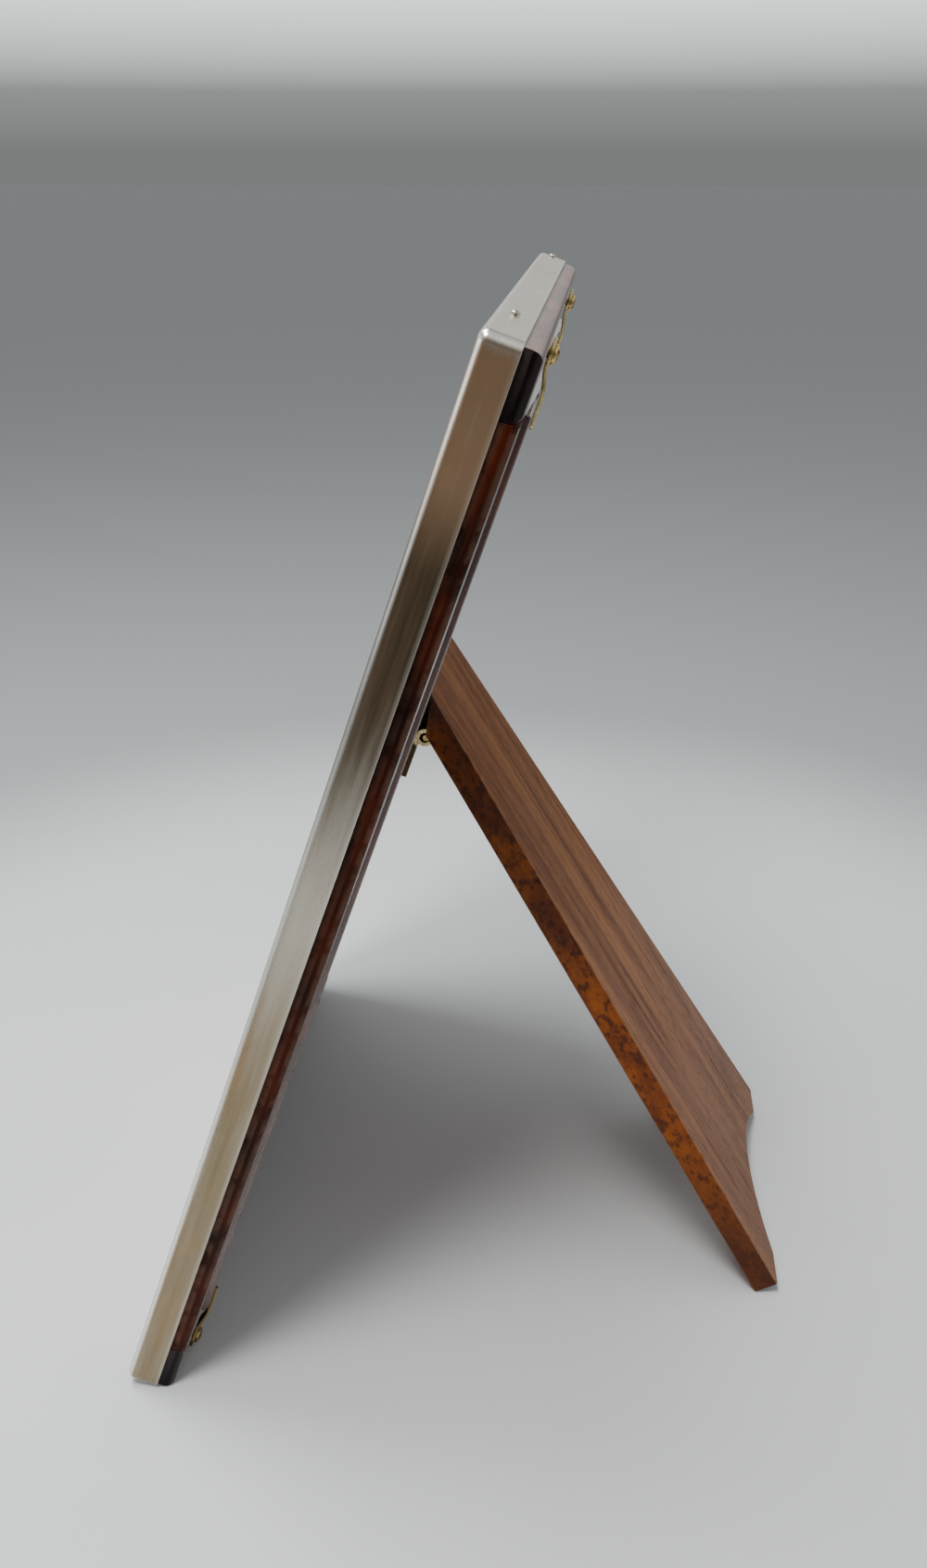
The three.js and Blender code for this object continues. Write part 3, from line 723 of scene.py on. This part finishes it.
# %% [markdown]
# ## Turn buttons
# A button is a flat spade cut from plate and cranked, so that its boss lies on the rail and its blade on
# the board. Two plates and a ramp could be joined, but a bent sheet has no seams. So it is drawn flat,
# cut across every millimetre, and the cuts are moved back along a ramp, which is what the press does. It
# fills the room under the screw's head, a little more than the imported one. The screw is turned, then
# slotted.

# %% Slotted screws
CORNERS = ("top_left", "top_right", "bottom_left", "bottom_right")
SCREW_TURNS = (34, 146, 113, 67)
SLOT_WIDTH = 0.62
HEAD_RISE = 1.5
SHANK = 1.15


def turned_to(mesh, place, angle):
    """Turns a mesh drawn about the origin and moves it to its place."""
    matrix = Matrix.Translation(place) @ Matrix.Rotation(angle, 4, "Y")
    bmesh.ops.transform(mesh, matrix=matrix, verts=mesh.verts)
    return mesh


def screw_reach(bench, node):
    """The middle of a packed screw, the radius of its head, and its two corners."""
    low, high = bench.reach(node)
    return Vector(((low.x + high.x) / 2, 0, (low.z + high.z) / 2)), (high.x - low.x) / 2, low, high


def slotted(mesh, middle, floor, above, head, turn):
    """Cuts a screwdriver slot across a head, from its floor to somewhere above the head."""
    low, high = sorted((floor, above))
    cutter = block((-1.5 * head, low, -SLOT_WIDTH / 2), (1.5 * head, high, SLOT_WIDTH / 2))
    return carve(mesh, [turned_to(cutter, middle, math.radians(turn))])


def button_screw(name, turn):
    middle, head, low, high = screw_reach(panel, "button_screw_" + name)
    top, under = high.y, high.y - HEAD_RISE
    quarter = [math.radians(k * 9) for k in range(10)]
    dome = [(head * math.cos(a), top - HEAD_RISE * 0.72 * (1 - math.sin(a))) for a in quarter]
    profile = [(0, low.y), (SHANK, low.y + 2), (SHANK, under), (head - 0.15, under), (head, under + 0.12)]
    mesh = lathe([*profile, *dome[:-1], (0, top)], middle)
    return slotted(mesh, middle, top - 0.65, top + 1, head, turn)


# %% Cranked buttons
BOSS_RADIUS = 3.6
TIP_RADIUS = 1.2
PLATE = 0.8
PACKED_PLATE = 0.6
RAMP = 4.9


def spade_outline(reach):
    """Half-round boss, straight tapering sides and a small round tip, pointing up from the pivot."""
    shoulder, taper = math.radians(25), 0.1
    boss = [math.pi - shoulder + (math.pi + 2 * shoulder) * k / 26 for k in range(27)]
    tip = [taper + (math.pi - 2 * taper) * k / 10 for k in range(11)]
    points = [(BOSS_RADIUS * math.cos(a), BOSS_RADIUS * math.sin(a)) for a in boss]
    centre = reach - TIP_RADIUS
    return points + [(TIP_RADIUS * math.cos(a), centre + TIP_RADIUS * math.sin(a)) for a in tip]


def turn_button(name):
    low, high = panel.reach("turn_button_" + name)
    pivot = screw_reach(panel, "button_screw_" + name)[0]

    def from_pivot(point):
        return math.hypot(point.x - pivot.x, point.z - pivot.z)

    tip = max(panel.points("turn_button_" + name), key=from_pivot)
    reach = from_pivot(tip)
    crank = high.y - low.y - PACKED_PLATE
    mesh = through(spade_outline(reach), low.y, low.y + PLATE)
    ease(mesh, 0.18, None, 3)
    for k in range(1, int(reach)):
        parts = [*mesh.verts, *mesh.edges, *mesh.faces]
        bmesh.ops.bisect_plane(mesh, geom=parts, plane_co=(0, 0, k), plane_no=(0, 0, 1))
    for vertex in mesh.verts:
        vertex.co.y += crank * min(1, max(0, (vertex.co.z - BOSS_RADIUS) / RAMP))
    return turned_to(mesh, pivot, math.atan2(tip.x - pivot.x, tip.z - pivot.z))


for name, turn in zip(CORNERS, SCREW_TURNS):
    own = "button_" + name
    settle(own + "_plate", turn_button(name), [BUTTON_BRASS], "turn_" + own, own)
    settle(own + "_screw", button_screw(name, turn), [SCREW_BRASS], "button_screw_" + name)
print("four turn buttons and their screws")

# %% [markdown]
# ## Cover pins
# Small round-headed pins fix the silver to the rails, top and bottom. Each is one turning. The top ones
# are domed and stand a little proud. The bottom ones are driven flush, so that the frame sits flat.


# %% Four pins
def cover_pin(name):
    low, high = panel.reach("cover_pin_" + name)
    centre = ((low.x + high.x) / 2, (low.y + high.y) / 2, 0)
    if name.startswith("top"):
        head, top = (high.x - low.x) / 2, high.z
        curve = [math.radians(k * 11.25) for k in range(8)]
        dome = [(head * math.cos(a), top - 0.62 * (1 - math.sin(a))) for a in curve]
        shank = [(0, low.z), (0.5, low.z + 0.8), (0.5, top - 0.7), (head - 0.1, top - 0.7)]
        profile = [*shank, *dome, (0, top)]
    else:
        profile = [(0, low.z), (0.42, low.z), (0.5, low.z + 0.08), (0.5, high.z - 0.8), (0, high.z)]
    return lathe(profile, centre, "z", 28)


for name in CORNERS:
    settle("cover_" + name + "_pin", cover_pin(name), [PIN_METAL], "cover_pin_" + name)
print("four cover pins")

# %% [markdown]
# ## The hinge
# A butt hinge of folded brass: each leaf is a strip whose tabs curl round the pin until they nearly meet
# the strip again. The pin is thinner than the curl and hangs to one side of it, so a dark C shows at the
# ends. Solid round knuckles would hide that, so each tab is drawn from the true profile: along the leaf,
# round the pin, and back down the inside.

# %% Curled leaves, drilled and screwed
KNUCKLES = 5
KNUCKLE_GAP = 0.3
CURL_SHEET = 1.15
SEAM = 0.05
PIN_SLACK = 0.3
LEAF_STRIP = 1.5

pin_low, pin_high = panel.reach("hinge_pin")
pin_axis = Vector((0, (pin_low.y + pin_high.y) / 2, (pin_low.z + pin_high.z) / 2))
pin_on_prop = prop.local(panel.matrix @ (pin_axis * MM))
hinge_half = pin_high.x
knuckle = (2 * hinge_half - (KNUCKLES - 1) * KNUCKLE_GAP) / KNUCKLES


def curl_profile(axis, side, radius, foot):
    """Up the leaf, round the pin and back inside. side is +1 where the leaf lies behind the axis."""
    inner = radius - CURL_SHEET
    outer_end = 2 * math.pi - math.acos((inner - SEAM) / radius)
    inner_end = math.radians(335)

    def arc(size, end):
        turns = [end * k / 32 for k in range(33)]
        return [(axis.y + side * size * math.cos(a), axis.z + size * math.sin(a)) for a in turns]

    outside, inside = arc(radius, outer_end), arc(inner, inner_end)[::-1]
    return [(axis.y + side * radius, foot), *outside, *inside, (axis.y + side * inner, foot)]


def hinge_leaf(bench, node, axis, first, screws, side):
    """first is the first of its knuckles. side is as for the curl."""
    low, high = bench.reach(node)
    radius = high.z - axis.z
    neck = axis.z - radius - KNUCKLE_GAP
    face = axis.y + side * radius
    open_face = face - side * LEAF_STRIP
    near, far = sorted((face, open_face))
    plate = ease(block((-hinge_half, near, low.z), (hinge_half, far, neck)), 0.18, None, 2)
    holes = []
    for screw in screws:
        middle, head, _, _ = screw_reach(bench, screw)
        wide, narrow, far_out = head + 0.25, 1.2, open_face + side * 3
        cone = [(0, open_face - side), (wide, open_face - side), (wide, open_face)]
        cone += [(narrow, open_face + side * 1.05), (narrow, far_out), (0, far_out)]
        holes.append(lathe(cone, middle, "y", 32))
    parts = [carve(plate, holes)]
    for i in range(first, KNUCKLES, 2):
        start = -hinge_half + i * (knuckle + KNUCKLE_GAP)
        curl = across(curl_profile(axis, side, radius, neck - 0.6), start, start + knuckle)
        parts.append(ease(curl, 0.1, None, 2))
    return joined(parts)


def hinge_screw(bench, node, outward, turn):
    """A countersunk screw whose head looks rearward when outward is 1, and forward when it is -1."""
    middle, head, low, high = screw_reach(bench, node)
    top, point = (high.y, low.y) if outward > 0 else (low.y, high.y)
    from_top = [(0, 0.02), (head - 0.5, 0.02), (head, 0.12), (1, 1.05)]
    profile = [(radius, top - outward * depth) for radius, depth in from_top]
    mesh = lathe([*profile, (1, point + outward * 1.2), (0, point)], middle, "y", 32)
    return slotted(mesh, middle, top - outward * 0.5, top + outward, head, turn)


# %% Both leaves, six screws and the pin
SIDES = ("left", "middle", "right")
LEAF_BRASS = (tone(206, 184, 134), tone(48, 32, 25), 0.2)

board_screws = ["board_hinge_screw_" + side for side in SIDES]
board_leaf = hinge_leaf(panel, "hinge_fixed_leaf", pin_axis, 0, board_screws, -1)
fixed_brass = brass_finish("fixed_leaf_brass", *LEAF_BRASS, pin_axis)
settle("hinge_board_leaf", board_leaf, [fixed_brass], "hinge_fixed_leaf")

leg_screws = ["leg_hinge_screw_" + side for side in SIDES]
leg_leaf = hinge_leaf(prop, "hinge_moving_leaf", pin_on_prop, 1, leg_screws, 1)
moving_brass = brass_finish("moving_leaf_brass", *LEAF_BRASS, pin_on_prop)
settle("hinge_leg_leaf", leg_leaf, [moving_brass], "hinge_moving_leaf", "leg", prop)

for side, board_turn, leg_turn in zip(SIDES, (40, 23, 132), (15, 80, 118)):
    node = "board_hinge_screw_" + side
    settle("board_screw_" + side, hinge_screw(panel, node, 1, board_turn), [SCREW_BRASS], node)
    node = "leg_hinge_screw_" + side
    mesh = hinge_screw(prop, node, -1, leg_turn)
    settle("leg_screw_" + side, mesh, [SCREW_BRASS], node, "leg", prop)

pin_radius = (pin_high.z - pin_low.z) / 2 - 0.06
half_pin = [(pin_radius, hinge_half - 0.2), (pin_radius - 0.2, hinge_half), (0, hinge_half)]
pin_profile = [(radius, -along) for radius, along in reversed(half_pin)] + half_pin
rod = lathe(pin_profile, pin_axis + Vector((0, PIN_SLACK, 0)), "x", 32)
settle("hinge_rod", rod, [SCREW_BRASS], "hinge_pin")
print("hinge axis", round(pin_axis.z, 1), "mm up the panel, knuckles", round(knuckle, 2), "mm long")

# %% [markdown]
# ## The leg
# The leg is a board veneered on its face, with figured lipping along its edges: the face is brown with
# straight dark grain down its length, the edges are orange with short dark flecks. Two finishes on one
# mesh, chosen by which way a face looks, keep the board one piece as it really is.


# %% Face veneer and flecked edges
def leg_face_wood():
    wood = Finish("leg_face_wood")
    wander = wood.bent(wood.stretched(0.3, 0.3, 0.011), 0.75, 55)
    bands = wood.cloud(1.5, 3, 0.6, wander)
    streaks = wood.cloud(0.62, 5, 0.7, wander).rising(0.53, 0.66)
    cathedral = wood.cloud(1, 2, 0.5, wood.bent(wood.stretched(0.16, 0.16, 0.02), 0.9, 30))
    arcs = abs((cathedral * 9).maths("FRACT", cathedral * 9) - 0.5).rising(0.42, 0.5)
    fine = wood.bent(wood.stretched(0.45, 0.4, 0.03), 0.15, 30)
    pores = wood.cloud(0.17, 2, 0.6, fine).rising(0.56, 0.68)
    knot = wood.near((-30, LEG_THICK, 24), 12)
    patch = wood.cloud(45, 3).rising(0.35, 0.7)
    colour = wood.mix(bands.rising(0.3, 0.7), tone(110, 59, 20), tone(154, 98, 50))
    colour = wood.mix(streaks * 0.75, colour, tone(78, 40, 15))
    # Painted shade: the face is painted darker towards its foot.
    colour = wood.mix(wood.z.rising(120, 10) * 0.5, colour, tone(86, 54, 32))
    colour = wood.mix(arcs * wood.z.rising(120, 30) * 0.5, colour, tone(72, 36, 16))
    colour = wood.mix(pores * 0.6, colour, tone(48, 24, 10))
    colour = wood.mix(knot * 0.5, colour, tone(66, 30, 16))
    colour = wood.mix(patch * 0.15, colour, tone(140, 104, 84))
    worn = wood.worn() * wood.cloud(4, 3).rising(0.25, 0.6)
    colour = wood.mix(worn * 0.6, colour, tone(176, 146, 112))
    rough = 0.44 + streaks * 0.12 + pores * 0.15
    relief = wood.relief(bands * 0.4 - pores - streaks * 0.5, 0.05)
    return wood.done(Base_Color=colour, Roughness=rough, Normal=relief, Specular_IOR_Level=0.12)


def leg_edge_wood():
    wood = Finish("leg_edge_wood")
    tangled = wood.bent(wood.stretched(0.9, 0.9, 0.62), 2.2, 4)
    blotch = wood.cloud(2.6, 4, 0.62, tangled).rising(0.5, 0.64)
    fleck = wood.cells(1.7, tangled).rising(0.55, 0.2) * wood.cloud(4.2, 3, 0.6).rising(0.42, 0.6)
    speck = wood.cloud(0.7, 3, 0.6, tangled).rising(0.55, 0.68)
    glow = wood.cloud(12, 4, 0.65, wood.stretched(1, 1, 0.4))
    colour = wood.mix(glow.rising(0.3, 0.7), tone(92, 38, 3), tone(158, 82, 10))
    colour = wood.mix(blotch * 0.72, colour, tone(48, 17, 4))
    colour = wood.mix(fleck * 0.6, colour, tone(34, 12, 4))
    colour = wood.mix(speck * 0.45, colour, tone(40, 15, 5))
    # The edges are painted darker towards the top, and darker again towards the foot as painted shade.
    colour = wood.mix(wood.z.rising(90, 185) * 0.35, colour, tone(58, 20, 4))
    colour = wood.mix(wood.z.rising(90, 10) * 0.75, colour, tone(62, 28, 7))
    corner = wood.near((leg_high.x * 0.5, LEG_THICK, leg_high.z), 16)
    colour = wood.mix(corner * 0.75, colour, tone(50, 37, 38))
    worn = wood.worn() * wood.cloud(4, 3).rising(0.25, 0.55)
    colour = wood.mix(worn * 0.75, colour, tone(150, 126, 104))
    rough = 0.38 + fleck * 0.15
    relief = wood.relief(glow * 0.4 - blotch * 0.5 - fleck * 0.5, 0.05)
    return wood.done(Base_Color=colour, Roughness=rough, Normal=relief, Specular_IOR_Level=0.2)


# %% The board, arched between its feet and let in for the leaf
leg_low, leg_high = prop.reach("easel_leg")
leg_points = prop.points("easel_leg")
LEG_THICK = leg_high.y
LEG_FACE = leg_face_wood()
LEG_EDGE = leg_edge_wood()


def leg_board():
    touch = 0.02
    base = leg_high.x
    top = max(abs(p.x) for p in leg_points if p.z > leg_high.z - touch)
    arch_half = min(abs(p.x) for p in leg_points if p.z < touch)
    rise = max(p.z for p in leg_points if abs(p.x) < 8 and p.z < 40)
    inner_top = max(p.z for p in leg_points if p.y < touch)
    radius = (arch_half ** 2 + rise ** 2) / (2 * rise)
    sweep = math.asin(arch_half / radius)
    angles = [sweep * k / 14 for k in range(-14, 15)]
    arch = [(radius * math.sin(a), rise - radius * (1 - math.cos(a))) for a in angles]
    outline = [(-base, 0), *arch, (base, 0), (top, leg_high.z), (-top, leg_high.z)]
    mesh = through(outline, 0, LEG_THICK)
    slope = Vector((0, -(leg_high.z - inner_top), LEG_THICK)).normalized()
    parts = [*mesh.verts, *mesh.edges, *mesh.faces]
    bmesh.ops.bisect_plane(
        mesh, geom=parts, plane_co=(0, LEG_THICK, leg_high.z), plane_no=slope, clear_outer=True,
    )
    bmesh.ops.holes_fill(mesh, edges=[edge for edge in mesh.edges if edge.is_boundary])
    bmesh.ops.recalc_face_normals(mesh, faces=mesh.faces)
    leaf_low, leaf_high = prop.reach("hinge_moving_leaf")
    room = 0.3
    half, floor, foot = hinge_half + room, leaf_high.y + room, leaf_low.z - room
    bore = leaf_high.z - pin_on_prop.z + room
    knuckles = [(0, -half), (bore, -half), (bore, half), (0, half)]
    pocket = block((-half, -1, foot), (half, floor, pin_on_prop.z))
    mesh = carve(mesh, [pocket, lathe(knuckles, pin_on_prop, "x", 40)])

    def outside_pocket(p):
        return abs(p.x) > half + touch or p.z < foot - touch or p.y > floor + touch

    return ease(mesh, 0.55, outside_pocket, 4)


leg = settle("leg_board", leg_board(), [LEG_FACE, LEG_EDGE], "easel_leg", "leg", prop)
for face in leg.data.polygons:
    face.material_index = int(abs(face.normal.y) < 0.75)
print("leg", round(leg_high.z, 1), "mm long,", round(LEG_THICK, 1), "mm thick")

# %% [markdown]
# ## Table, light and camera
# The frame stands on a plain pale surface whose colour is painted greyer with distance, a painted falloff
# of light as outside a lamp's pool. Two soft lights overhead leave the hollow under the leg in shade. A
# wide one in front brightens the table that the silver reflects, and a weak one behind keeps the leg
# readable.
# The room round them is a soft gradient, darker and warmer to the right, since silver shows whatever it
# faces.

# %% A pale table top, wide enough to reach the horizon
TABLE_REACH = 14000
table_mesh = block((-TABLE_REACH, -TABLE_REACH, -30), (TABLE_REACH, TABLE_REACH, 0))
ease(table_mesh, 8, None, 3)
table_top = as_object(table_mesh, "table_top")
table_top.data.transform(Matrix.Scale(MM, 4))


def table_finish():
    table = Finish("pale_table")
    grain = table.cloud(1.2, 3, 0.7)
    stain = table.cloud(160, 3).rising(0.4, 0.8)
    colour = table.mix(stain * 0.35 + grain * 0.1, tone(206, 208, 209), tone(192, 195, 198))
    square = table.x * table.x + table.y * table.y
    distance = square.maths("POWER", square, 0.5)
    # Painted light falloff: the table is painted greyer beyond 250 mm from the frame.
    colour = table.mix(distance.rising(250, 430), colour, tone(160, 163, 165))
    return table.done(Base_Color=colour, Roughness=0.75 + grain * 0.1, Specular_IOR_Level=0.05)


table_top.data.materials.append(table_finish())

# %% Soft light
room = bpy.data.worlds.new("studio_room")
bpy.context.scene.world = room
room.use_nodes = True
nodes, links = room.node_tree.nodes, room.node_tree.links
background = nodes["Background"]
direction = nodes.new("ShaderNodeTexCoord")
parts = nodes.new("ShaderNodeSeparateXYZ")
links.new(direction.outputs["Generated"], parts.inputs[0])


def room_ramp(axis, stops):
    """A gradient through the room. Each stop is a place along the axis, then a colour."""
    ramp = nodes.new("ShaderNodeValToRGB")
    links.new(parts.outputs[axis], ramp.inputs[0])
    elements = ramp.color_ramp.elements
    for at, *colour in stops[1:-1]:
        elements.new(at).color = (*colour, 1)
    for end in (0, -1):
        at, *colour = stops[end]
        elements[end].position, elements[end].color = at, (*colour, 1)
    return ramp.outputs[0]


def blend(share, first, second):
    mixed = nodes.new("ShaderNodeMix")
    mixed.data_type = "RGBA"
    for i, socket in ((0, share), (6, first), (7, second)):
        links.new(socket, mixed.inputs[i])
    return mixed.outputs[2]


low_side = room_ramp("Z", [
    (0.0, 0.2, 0.145, 0.11),
    (0.2, 0.26, 0.2, 0.16),
    (0.5, 0.66, 0.68, 0.69),
    (0.8, 1.5, 1.52, 1.54),
])
upper = room_ramp("Z", [
    (0.0, 1.2, 1.22, 1.22),
    (0.3, 2.1, 2.12, 2.12),
    (0.5, 2.1, 2.12, 2.12),
    (0.72, 0.8, 0.82, 0.83),
    (1.0, 1.3, 1.32, 1.34),
])
dark_side = room_ramp("X", [(0.25, 0, 0, 0), (0.8, 1, 1, 1)])
backdrop = room_ramp("Z", [(0.0, 0.48, 0.5, 0.5), (0.035, 0.72, 0.75, 0.75), (0.09, 3.2, 3.3, 3.3)])
is_seen = nodes.new("ShaderNodeLightPath").outputs["Is Camera Ray"]
shaded = blend(dark_side, upper, low_side)
links.new(blend(is_seen, shaded, backdrop), background.inputs["Color"])
background.inputs["Strength"].default_value = 0.42


def soft_light(name, place, target, width, depth, power, colour):
    lamp = bpy.data.lights.new(name, "AREA")
    lamp.shape = "RECTANGLE"
    lamp.size, lamp.size_y = width, depth
    lamp.energy = power
    lamp.color = colour
    made = bpy.data.objects.new(name, lamp)
    bpy.context.scene.collection.objects.link(made)
    made.location = place
    made.rotation_euler = (Vector(target) - Vector(place)).to_track_quat("-Z", "Y").to_euler()


soft_light("key_beside", (0.31, -0.1, 0.79), (0, 0, 0), 0.2, 0.2, 5.0, (1.0, 0.985, 0.97))
soft_light("key_above", (-0.06, -0.18, 0.85), (0, 0, 0), 0.3, 0.3, 5.0, (0.98, 0.995, 1.0))
soft_light("front_glow", (0.25, -0.95, 0.4), (0.25, -0.95, 0), 0.9, 0.9, 4.5, (1.0, 1.0, 0.99))
soft_light("back_fill", (0.25, 0.9, 0.6), (0, 0, 0.1), 0.8, 0.8, 0.7, (1.0, 0.97, 0.93))

# %% The camera
TARGET = Vector((0, -0.00841, 0.14537))
AZIMUTH, ELEVATION, DISTANCE = math.radians(96.114), math.radians(25.575), 0.3929
along_floor = math.cos(ELEVATION)
back = Vector((math.sin(AZIMUTH) * along_floor, -math.cos(AZIMUTH) * along_floor, math.sin(ELEVATION)))
lens = bpy.data.cameras.new("camera")
lens.sensor_width = 36
lens.lens = 30.41
lens.clip_start = 0.01
camera = bpy.data.objects.new("camera", lens)
bpy.context.scene.collection.objects.link(camera)
camera.location = TARGET + back * DISTANCE
camera.rotation_euler = (-back).to_track_quat("-Z", "Y").to_euler()
bpy.context.scene.camera = camera
print("camera at", [round(c, 4) for c in camera.location])
